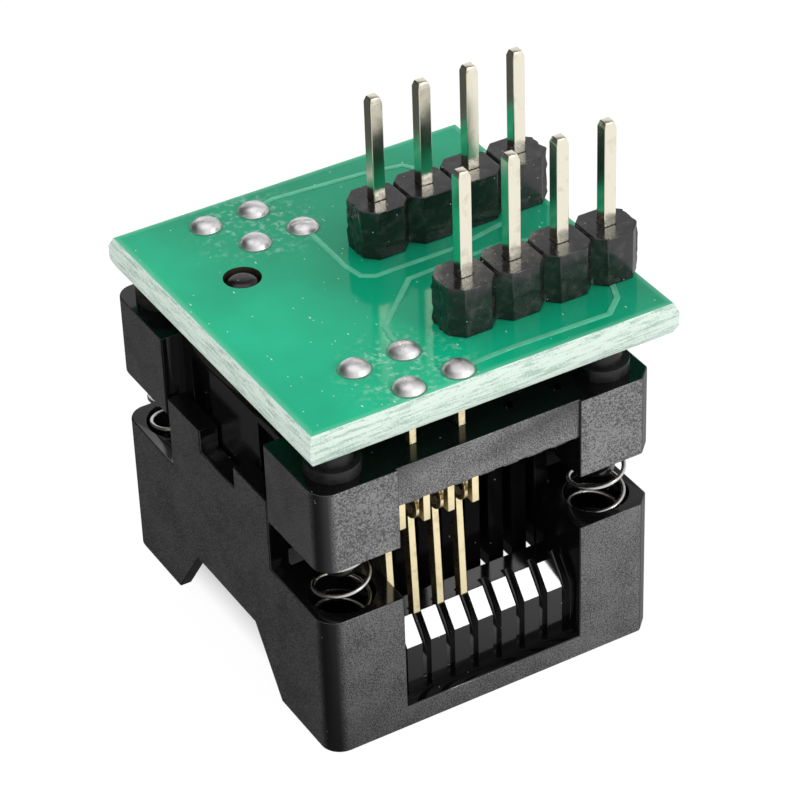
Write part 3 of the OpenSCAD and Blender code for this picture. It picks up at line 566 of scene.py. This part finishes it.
class ADAPTER_OT_mouldings(Operator):
    """Round the cover and the base, grained outside and smooth inside"""
    bl_idname = "adapter.mouldings"
    bl_label = "Cover and base"

    CORNER = 1.0 * MM
    SKIN = 0.25 * MM
    # Depth behind the long sides to which flat faces are grained, which takes in the strip's lip
    RECESS = 0.6 * MM
    # Height of the feet between the base and the board, and their least distance from the middle, sideways
    FOOT = 1.2 * MM
    FOOT_OUT = 6 * MM

    def execute(self, context):
        look = context.scene.adapter_moulding
        smooth, dull = polished_pbt(look), under_board_shade_pbt(look)
        # The base's grain is given a higher index than the cover's, so it shines more
        for node, body, shine_index in (("cover", "cover", 1.78), ("socket_base", "socket", 2.1)):
            finishes = [smooth, spark_eroded_pbt(look, node, shine_index), dull]
            low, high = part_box(node)
            half = (high - low) / 2

            def is_raised(part):
                return node == "socket_base" and middle_of(part).z > BOARD_LOW.z - self.FOOT

            def is_outer(part):
                return wall_depth(middle_of(part), half, self.CORNER) > -self.SKIN and not is_raised(part)

            bm = merged_copy(node)
            for face in bm.faces:
                across, along = abs(face.normal.x), abs(face.normal.y)
                recessed = along > SQUARE and half.y - abs(middle_of(face).y) < self.RECESS
                # The feet under the board take the finish with painted shade
                if is_raised(face) and abs(middle_of(face).x) > self.FOOT_OUT:
                    face.material_index = 2
                else:
                    face.material_index = 1 if recessed or is_outer(face) and max(across, along) > FACING else 0
            mark_edges(bm, look.edge, look.inner_edge, is_outer)
            piece = finished(bm, "moulded_" + node, finishes, "black_plastic", node)
            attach(soften(piece, look.edge), body)
        return {"FINISHED"}


class ADAPTER_OT_springs(Operator):
    """Wind the four coil springs, with a closed turn at each end"""
    bl_idname = "adapter.springs"
    bl_label = "Springs"

    WIRE = 0.22 * MM
    OPEN_TURNS = 5.5
    CLOSED_RISE = 0.253 * MM
    # Facets round the wire, and steps in one turn
    FACETS = 10
    STEPS = 40
    # Turn of each spring about its axis
    TURNS = {"front_left": 112.5, "front_right": 0.0, "back_left": 225.0, "back_right": 67.5}

    def execute(self, context):
        steel = spring_steel(context.scene.adapter_metal)
        for side in SIDES:
            for end in ("left", "right"):
                node = f"spring_{side}_{end}"
                low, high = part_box(node)
                axis = (low + high) / 2
                open_rise = (high.z - low.z - self.WIRE - 2 * self.CLOSED_RISE) / self.OPEN_TURNS
                start = Vector(((high.x - low.x - self.WIRE) / 2, 0, 0))
                placed = (
                    Matrix.Translation((axis.x, axis.y, low.z + self.WIRE / 2))
                    @ Matrix.Rotation(math.radians(self.TURNS[f"{side}_{end}"]), 4, "Z")
                    @ Matrix.Translation(start) @ Matrix.Rotation(math.pi / 2, 4, "X"))
                bm = bmesh.new()
                ring = bmesh.ops.create_circle(bm, segments=self.FACETS, radius=self.WIRE / 2, matrix=placed)
                first = list({edge for corner in ring["verts"] for edge in corner.link_edges})
                last = first
                for turns, rise in ((1, self.CLOSED_RISE), (self.OPEN_TURNS, open_rise), (1, self.CLOSED_RISE)):
                    swept = bmesh.ops.spin(
                        bm, geom=last, cent=axis, axis=UP, dvec=UP * (rise / self.STEPS),
                        angle=turns * math.tau, steps=round(turns * self.STEPS), use_merge=False)
                    last = [part for part in swept["geom_last"] if isinstance(part, bmesh.types.BMEdge)]
                bmesh.ops.edgeloop_fill(bm, edges=first)
                bmesh.ops.edgeloop_fill(bm, edges=last)
                bmesh.ops.recalc_face_normals(bm, faces=bm.faces)
                piece = finished(bm, "coil_" + node, [steel], "spring_wire", node)
                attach(piece, "socket")
                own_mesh(piece)
        return {"FINISHED"}


class ADAPTER_OT_contacts(Operator):
    """Round the stamped contacts and close the spring bend between each blade and its lever"""
    bl_idname = "adapter.contacts"
    bl_label = "Contacts"

    BEND_R = 0.72 * MM
    # Angles of the bend's two ends, from level
    LEVER_END = math.radians(8)
    BLADE_END = math.radians(22.7)
    BEND_STEPS = 4

    def bend_point(self, joint, side, angle):
        """A point of the bend's middle line."""
        pivot = Vector(joint["pos_m"])
        return pivot + self.BEND_R * Vector((0, SIDES[side] * math.cos(angle), math.sin(angle)))

    def execute(self, context):
        look = context.scene.adapter_metal
        gold = gold_flash(look)
        for side in SIDES:
            for i in CONTACTS:
                body = f"lever_{side}_{i}"
                joint = JOINTS[body + "_bend"]
                start = self.bend_point(joint, side, self.BLADE_END)
                end = self.bend_point(joint, side, self.LEVER_END)
                blade = self.strip(f"contact_blade_{side}_{i}", start, look, gold)
                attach(blade, "socket")
                sweep = SIDES[side] * (self.BLADE_END - self.LEVER_END)
                lever = self.strip(f"contact_lever_{side}_{i}", end, look, gold, Vector(joint["pos_m"]), sweep)
                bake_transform(lever, "socket", body, start=start, end=end)
        return {"FINISHED"}

    def strip(self, node, split, look, gold, pivot=None, sweep=0):
        """One half of a contact; a lever's half of the bend is carried on to the blade."""
        bm = merged_copy(node)
        cut = min(bm.faces, key=lambda face: (face.calc_center_median() - split).length)
        if pivot:
            swept = bmesh.ops.spin(
                bm, geom=[cut], cent=pivot, axis=(1, 0, 0), angle=sweep, steps=self.BEND_STEPS, use_merge=False)
            cut = next(part for part in swept["geom_last"] if isinstance(part, bmesh.types.BMFace))
            # The sweep leaves the faces that it passed inside the strip
            inner = [face for face in bm.faces if all(len(edge.link_faces) > 2 for edge in face.edges)]
            bmesh.ops.delete(bm, geom=inner, context="FACES_ONLY")
        mark_edges(bm, look.contact_edge)
        layer = bm.edges.layers.float["bevel_weight_edge"]
        for edge in cut.edges:
            edge[layer] = 0
        return soften(finished(bm, "gilt_" + node, [gold], "gold_contact", node), look.contact_edge)


class ADAPTER_OT_board(Operator):
    """Give the board its mask, drilled holes with painted shade and cut edges"""
    bl_idname = "adapter.board"
    bl_label = "Board"

    EDGE = 0.03 * MM
    # Width of the cut border, inside which the upright faces are drilled
    RIM = 0.6 * MM
    # Least upright part of the normal of a face under the mask
    LEVEL = 0.99

    def execute(self, context):
        look = context.scene.adapter_board
        bm = merged_copy("circuit_board")
        for face in bm.faces:
            middle = face.calc_center_median()
            inside = min(*(middle - BOARD_LOW).xy, *(BOARD_HIGH - middle).xy)
            face.material_index = 0 if abs(face.normal.z) > self.LEVEL else 2 if inside > self.RIM else 1
        mark_edges(bm, self.EDGE)
        finishes = [solder_mask(look), cut_laminate(look), stained_and_shaded_resin()]
        piece = finished(bm, "masked_board", finishes, "green_board", "circuit_board")
        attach(soften(piece, self.EDGE), "socket")
        return {"FINISHED"}


class ADAPTER_OT_traces(Operator):
    """Lay the masked copper traces from the contact joints to the header pins"""
    bl_idname = "adapter.traces"
    bl_label = "Traces"

    # Part of a trace's height that its shoulders round, and the sharpest turn that is mitred in full, as a cosine
    SHOULDER = 0.8
    MITRE = 0.5
    # Each route in millimetres on the board's top, from its joint to its pin
    ROUTES = (
        ((-0.71, 5.67), (-0.61, 4.98), (-0.65, 1.73), (-0.45, 0.6), (0.12, 0.22), (4.39, 0.24), (7.52, 0.87),
         (8.7, 1.6)),
        ((-1.86, -5.63), (-1.82, -4.34), (-1.65, -3.6), (1.26, -0.83), (3.81, -0.7), (6.56, -0.67), (8.4, -1.3),
         (9.21, -2.6), (9.21, -4.4)),
        ((-1.88, 8.34), (-0.61, 8.67), (4.08, 8.29), (6.1, 7.9), (6.67, 7.0), (6.67, 3.2)),
        ((-0.59, -8.22), (2.16, -8.07), (7.32, -8.23), (8.34, -7.35), (9.0, -5.8)),
    )

    def execute(self, context):
        look = context.scene.adapter_board
        bm = bmesh.new()
        for route in self.ROUTES:
            self.lay(bm, [Vector((x * MM, y * MM, 0)) for x, y in route], look)
        bmesh.ops.recalc_face_normals(bm, faces=bm.faces)
        piece = finished(bm, "copper_traces", [masked_copper(look)], "green_board")
        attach(piece, "socket")
        return {"FINISHED"}

    def lay(self, bm, route, look):
        """One flat ribbon with mitred turns, then its thickness and rounded shoulders."""
        half = look.trace_width / 2
        rail = None
        faces = []
        for k, point in enumerate(route):
            before = (point - route[max(k - 1, 0)]).normalized()
            after = (route[min(k + 1, len(route) - 1)] - point).normalized()
            ahead = (before + after).normalized()
            across = ahead.cross(UP) * half / max(ahead.dot(after if after.length else before), self.MITRE)
            places = [point + across + UP * BOARD_TOP, point - across + UP * BOARD_TOP]
            if rail is None:
                ends = [bm.verts.new(place) for place in places]
                rail = [bm.edges.new(ends)]
                continue
            grown = bmesh.ops.extrude_edge_only(bm, edges=rail)["geom"]
            rail = [part for part in grown if isinstance(part, bmesh.types.BMEdge)]
            faces += [part for part in grown if isinstance(part, bmesh.types.BMFace)]
            corners = [part for part in grown if isinstance(part, bmesh.types.BMVert)]
            for corner in corners:
                corner.co = min(places, key=lambda place: ((place - corner.co) - (point - route[k - 1])).length)
        raised = bmesh.ops.extrude_face_region(bm, geom=faces, use_keep_orig=True)["geom"]
        top = [part for part in raised if isinstance(part, bmesh.types.BMFace)]
        corners = [part for part in raised if isinstance(part, bmesh.types.BMVert)]
        bmesh.ops.translate(bm, vec=UP * look.trace_height, verts=corners)
        rim = [edge for edge in {e for face in top for e in face.edges}
               if sum(face in top for face in edge.link_faces) == 1]
        bmesh.ops.bevel(
            bm, geom=rim, offset=look.trace_height * self.SHOULDER, offset_type="OFFSET", affect="EDGES", segments=2,
            profile=0.5, material=-1)


class ADAPTER_OT_joints(Operator):
    """Freeze the solder domes over the contact tails, each on a ring of flux with painted shade"""
    bl_idname = "adapter.joints"
    bl_label = "Solder joints"

    # Half outline of a dome in millimetres, from the ring of flux and painted shade over the wetted shoulder to the
    # crown
    OUTLINE = ((0.0, 0.0), (0.82, 0.0), (0.8, 0.02), (0.735, 0.03), (0.72, 0.07), (0.66, 0.18), (0.55, 0.28),
               (0.4, 0.36), (0.22, 0.41), (0.0, 0.43))
    CROWN = 0.43
    # Radius in millimetres past which the flux and its painted shade show
    RING = 0.74
    STEPS = 40
    # Millimetres that a crown leans and ripples, and the width of a ripple
    LEAN = 0.06
    RIPPLE = 0.035
    RIPPLE_WIDTH = 0.45
    # The joint that froze low: parts of the full height that it keeps and that its crease takes, and the crease's
    # width in millimetres and slope
    FLAT_JOINT = ("back", 4)
    FLAT_HEIGHT = 0.85
    CREASE = 0.1
    CREASE_WIDTH = 0.1
    CREASE_SLOPE = 0.35
    # Start of the random draws, and the most by which they shift a dome's ripples
    SEED = 7
    SHIFT = 50

    def execute(self, context):
        look = context.scene.adapter_metal
        bm = bmesh.new()
        draw = random.Random(self.SEED)
        for side in SIDES:
            for i in CONTACTS:
                tail = f"contact_blade_{side}_{i}"
                _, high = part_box(tail)
                top = [v.co for v in NODES[tail].data.vertices if v.co.z > high.z - MERGE]
                middle = sum(top, Vector()) / len(top)
                self.dome(bm, Vector((middle.x, middle.y, BOARD_TOP)), draw, (side, i) == self.FLAT_JOINT)
        bmesh.ops.recalc_face_normals(bm, faces=bm.faces)
        piece = finished(bm, "solder_domes", [frozen_solder(look), flux_and_painted_shade()], "solder", "contact_solder")
        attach(piece, "socket")
        return {"FINISHED"}

    def dome(self, bm, foot, draw, is_flat):
        """Spin one dome and let it slump a little off true."""
        corners = [bm.verts.new(foot + Vector((r, 0, z)) * MM) for r, z in self.OUTLINE]
        line = [bm.edges.new(pair) for pair in zip(corners, corners[1:])]
        before = set(bm.faces)
        bmesh.ops.spin(
            bm, geom=line + corners, cent=foot, axis=UP, angle=math.tau, steps=self.STEPS, use_merge=True)
        faces = [face for face in bm.faces if face not in before]
        shell = list({corner for face in faces for corner in face.verts})
        bmesh.ops.remove_doubles(bm, verts=shell, dist=MERGE)
        faces = [face for face in bm.faces if face not in before]
        shell = list({corner for face in faces for corner in face.verts})
        offset = Vector([draw.uniform(-self.SHIFT, self.SHIFT) for _ in range(3)])
        lean = Vector((draw.uniform(-1, 1), draw.uniform(-1, 1), 0)) * self.LEAN * MM
        for corner in shell:
            out = corner.co - foot
            height = out.z / (self.CROWN * MM)
            corner.co += lean * height * height
            ripple = noise.noise(out / (self.RIPPLE_WIDTH * MM) + offset)
            corner.co.z += self.RIPPLE * MM * ripple * height
            if is_flat:
                crease = math.exp(-((out.y + self.CREASE_SLOPE * out.x) / (self.CREASE_WIDTH * MM)) ** 2)
                corner.co.z = foot.z + (corner.co.z - foot.z) * (self.FLAT_HEIGHT - self.CREASE * crease)
        for face in faces:
            middle = face.calc_center_median() - foot
            face.material_index = 1 if Vector((middle.x, middle.y)).length > self.RING * MM else 0


class ADAPTER_OT_headers(Operator):
    """Round the header insulators and roughen their snapped ends"""
    bl_idname = "adapter.headers"
    bl_label = "Headers"

    # Depth and width of the torn relief, and height and width of the burr on the right, in millimetres
    TORN = 0.14
    TORN_WIDTH = 0.35
    BURR = 0.2
    BURR_WIDTH = 0.35
    # Part of the tear that stands out evenly, and cuts across an end that carry the relief
    TORN_OUT = 0.25
    CUTS = 11
    # Dimension, gap and number of the tear's octaves
    OCTAVES = (0.8, 2.0, 3)

    def execute(self, context):
        look = context.scene.adapter_moulding
        plastic = header_pbt(look)
        for seed, side in enumerate(SIDES):
            node = f"header_block_{side}"
            low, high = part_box(node)
            middle = (low + high) / 2
            bm = merged_copy(node)
            mark_edges(bm, look.header_edge)
            layer = bm.edges.layers.float["bevel_weight_edge"]
            for x, way in ((low.x, -1), (high.x, 1)):
                ends = [face for face in bm.faces if abs(face.normal.x) >= SQUARE]
                end = min(ends, key=lambda face: abs(face.calc_center_median().x - x))
                for edge in end.edges:
                    edge[layer] = 0
                    edge.smooth = False
                cut = bmesh.ops.subdivide_edges(bm, edges=end.edges[:], cuts=self.CUTS, use_grid_fill=True)
                torn = {part for part in cut["geom_inner"] if isinstance(part, bmesh.types.BMVert)}
                for corner in torn:
                    if abs(corner.co.x - x) >= MERGE:
                        continue
                    # The shift gives each end a tear of its own
                    place = corner.co / (self.TORN_WIDTH * MM) + Vector((seed * 9, way * 5, 0))
                    ripple = noise.fractal(place, *self.OCTAVES)
                    corner.co.x += self.TORN * MM * (self.TORN_OUT * way + (1 - self.TORN_OUT) * ripple)
                    if way > 0:
                        off = (corner.co - middle).yz
                        corner.co.x += self.BURR * MM * math.exp(-(off.length / (self.BURR_WIDTH * MM)) ** 2)
            piece = finished(bm, "moulded_" + node, [plastic], "header_plastic", node)
            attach(soften(piece, look.header_edge), "socket")
        return {"FINISHED"}


class ADAPTER_OT_pins(Operator):
    """Round the drawn pins and dress the solder under the board"""
    bl_idname = "adapter.pins"
    bl_label = "Header pins"

    def execute(self, context):
        look = context.scene.adapter_metal
        tin = tin_plate(look)
        for i in HEADER_PINS:
            node = f"header_pin_{i}"
            bm = merged_copy(node)
            mark_edges(bm, look.pin_edge)
            piece = finished(bm, "tinned_" + node, [tin], "tinned_pin", node)
            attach(soften(piece, look.pin_edge, 3), "socket")
        cones = NODES["header_solder"].data.materials
        cones.clear()
        cones.append(frozen_solder(look))
        return {"FINISHED"}


class ADAPTER_OT_stage(Operator):
    """Set the pale floor, the white surroundings, the lamp and the camera"""
    bl_idname = "adapter.stage"
    bl_label = "Stage"

    FLOOR = 1.5
    # One over half the adapter's width and depth in metres
    FOOTPRINT = (1 / (8.8 * MM), 1 / (9.9 * MM), 1.0)
    # Level directions from the adapter to the lit end of the paper and to the backdrop
    LIT_WAY = (0.493, -0.87, 0.0)
    BACK_WAY = (0.493, 0.87, 0.0)

    def execute(self, context):
        look = context.scene.adapter_stage
        scene = context.scene
        scene.view_settings.view_transform = "Standard"
        self.surroundings(scene, look)
        bm = bmesh.new()
        bmesh.ops.create_grid(bm, x_segments=1, y_segments=1, size=self.FLOOR)
        mesh = bpy.data.meshes.new("floor")
        bm.to_mesh(mesh)
        bm.free()
        mesh.materials.append(self.paper())
        floor = bpy.data.objects.new("floor", mesh)
        scene.collection.objects.link(floor)
        self.lamp(scene, look)
        self.camera(scene, look)
        return {"FINISHED"}

    def ramp(self, tree, place, way, start, end, low, high):
        """A change of strength along a direction."""
        along = add(tree, "VectorMath", {"operation": "DOT_PRODUCT"}, {1: way}, {0: place})
        return add(
            tree, "MapRange", values={"From Min": start, "From Max": end, "To Min": low, "To Max": high},
            links={"Value": along.outputs["Value"]}).outputs[0]

    def by_ray(self, tree, camera, mirror, matt):
        """Pick a strength by where a ray ends: at the camera, on a shiny surface, or on a matt one that it lights."""
        ray = add(tree, "LightPath")
        shiny = add(
            tree, "Math", {"operation": "MAXIMUM"},
            links={0: ray.outputs["Is Glossy Ray"], 1: ray.outputs["Is Transmission Ray"]})
        strength = matt
        for flag, value in ((shiny.outputs[0], mirror), (ray.outputs["Is Camera Ray"], camera)):
            pick = add(tree, "Mix", links={FACTOR: flag})
            for socket, side in ((NUMBER_A, strength), (NUMBER_B, value)):
                if isinstance(side, float):
                    pick.inputs[socket].default_value = side
                else:
                    tree.links.new(side, pick.inputs[socket])
            strength = pick.outputs[0]
        return strength

    def surroundings(self, scene, look):
        """White to the eye, and a soft light from all round; shiny faces see the bright ends of the room."""
        scene.world = bpy.data.worlds.new("white_room")
        scene.world.use_nodes = True
        tree = scene.world.node_tree
        tree.nodes.clear()
        way = add(tree, "TexCoord").outputs["Generated"]
        front = self.ramp(tree, way, self.LIT_WAY, -0.6, 0.9, 0.05, 1.0)
        behind = self.ramp(tree, way, self.BACK_WAY, 0.74, 0.86, 0.0, 0.85)
        above = self.ramp(tree, way, UP, 0.74, 0.92, 0.0, 1.0)
        lit = front
        for other in (behind, above):
            lit = add(tree, "Math", {"operation": "MAXIMUM"}, links={0: lit, 1: other}).outputs[0]
        strength = self.by_ray(tree, 1.0, lit, look.ambient)
        room = add(tree, "Background", None, {"Color": (1, 1, 1, 1)}, {"Strength": strength})
        add(tree, "OutputWorld", links={"Surface": room})

    def paper(self):
        """White seamless paper: dim under the adapter and behind it, and otherwise glowing white to the eye."""
        material, tree, place = start_material("seamless_paper")
        apart = add(tree, "Mapping", None, {"Scale": self.FOOTPRINT}, {"Vector": place})
        out = add(tree, "VectorMath", {"operation": "ABSOLUTE"}, links={0: apart})
        out = add(tree, "SeparateXYZ", links={0: out.outputs[0]})
        far = add(tree, "Math", {"operation": "MAXIMUM"}, links={0: out.outputs[0], 1: out.outputs[1]})
        clear = add(
            tree, "MapRange", values={"From Min": 0.6, "From Max": 0.92, "To Min": 0.0, "To Max": 0.9},
            links={"Value": far})
        under = self.ramp(tree, place, self.LIT_WAY, -3 * MM, 3 * MM, 0.0, 0.8)
        # Painted shade: in shiny faces the paper's glow is dim near the adapter and brightens towards its lit end
        mirrored = self.ramp(tree, place, self.LIT_WAY, 3 * MM, 18 * MM, 0.05, 1.0)
        glow = add(tree, "Emission", links={"Strength": self.by_ray(tree, 1.06, mirrored, 0.0)})
        matt = add(tree, "BsdfDiffuse", None, {"Color": linear("#eeeeec")})
        bare = add(tree, "Math", {"operation": "MAXIMUM"}, links={0: clear, 1: under})
        seen = self.by_ray(tree, bare.outputs[0], 0.95, 0.0)
        both = add(tree, "MixShader", links={0: seen, 1: matt, 2: glow})
        add(tree, "OutputMaterial", links={"Surface": both})
        return material

    def lamp(self, scene, look):
        """One square softbox from the front right."""
        data = bpy.data.lights.new("softbox", "AREA")
        data.shape = "SQUARE"
        data.size = look.key_size
        data.energy = look.key_power
        lamp = bpy.data.objects.new("softbox", data)
        lamp.location = TARGET + KEY_WAY * KEY_DISTANCE
        lamp.rotation_euler = KEY_WAY.to_track_quat("Z", "Y").to_euler()
        scene.collection.objects.link(lamp)

    def camera(self, scene, look):
        """The photograph's view."""
        data = bpy.data.cameras.new("camera")
        data.sensor_width = 36
        data.lens = look.lens
        data.clip_start = 10 * MM
        camera = bpy.data.objects.new("camera", data)
        level = math.cos(look.elevation)
        back = Vector((math.sin(look.azimuth) * level, -math.cos(look.azimuth) * level, math.sin(look.elevation)))
        right = UP.cross(back).normalized()
        turn = Matrix((right, back.cross(right), back)).transposed() @ Matrix.Rotation(look.roll, 3, "Z")
        camera.location = TARGET + back * look.distance
        camera.rotation_euler = turn.to_euler()
        scene.collection.objects.link(camera)
        scene.camera = camera


class ADAPTER_PT_panel(Panel):
    """Lists the adapter's settings and the steps that build it"""
    bl_label = "Socket Adapter"
    bl_idname = "ADAPTER_PT_panel"
    bl_space_type = "VIEW_3D"
    bl_region_type = "UI"
    bl_category = "Adapter"

    def draw(self, context):
        for settings in SETTINGS:
            box = self.layout.box()
            box.label(text=settings.removeprefix("adapter_").title())
            group = getattr(context.scene, settings)
            for name in group.__annotations__:
                box.prop(group, name)
        for operator in OPERATORS:
            self.layout.operator(operator.bl_idname)


SETTINGS = {
    "adapter_moulding": MouldingLook,
    "adapter_board": BoardLook,
    "adapter_metal": MetalLook,
    "adapter_stage": StageLook,
}
OPERATORS = (
    ADAPTER_OT_stage,
    ADAPTER_OT_mouldings,
    ADAPTER_OT_springs,
    ADAPTER_OT_contacts,
    ADAPTER_OT_board,
    ADAPTER_OT_traces,
    ADAPTER_OT_joints,
    ADAPTER_OT_headers,
    ADAPTER_OT_pins,
)


def register():
    for cls in (*SETTINGS.values(), *OPERATORS, ADAPTER_PT_panel):
        bpy.utils.register_class(cls)
    for name, cls in SETTINGS.items():
        setattr(bpy.types.Scene, name, PointerProperty(type=cls))


def unregister():
    for name in SETTINGS:
        delattr(bpy.types.Scene, name)
    for cls in (ADAPTER_PT_panel, *reversed(OPERATORS), *reversed(SETTINGS.values())):
        bpy.utils.unregister_class(cls)


def main():
    register()
    for operator in OPERATORS:
        group, name = operator.bl_idname.split(".")
        getattr(getattr(bpy.ops, group), name)()


if __name__ == "__main__":
    main()
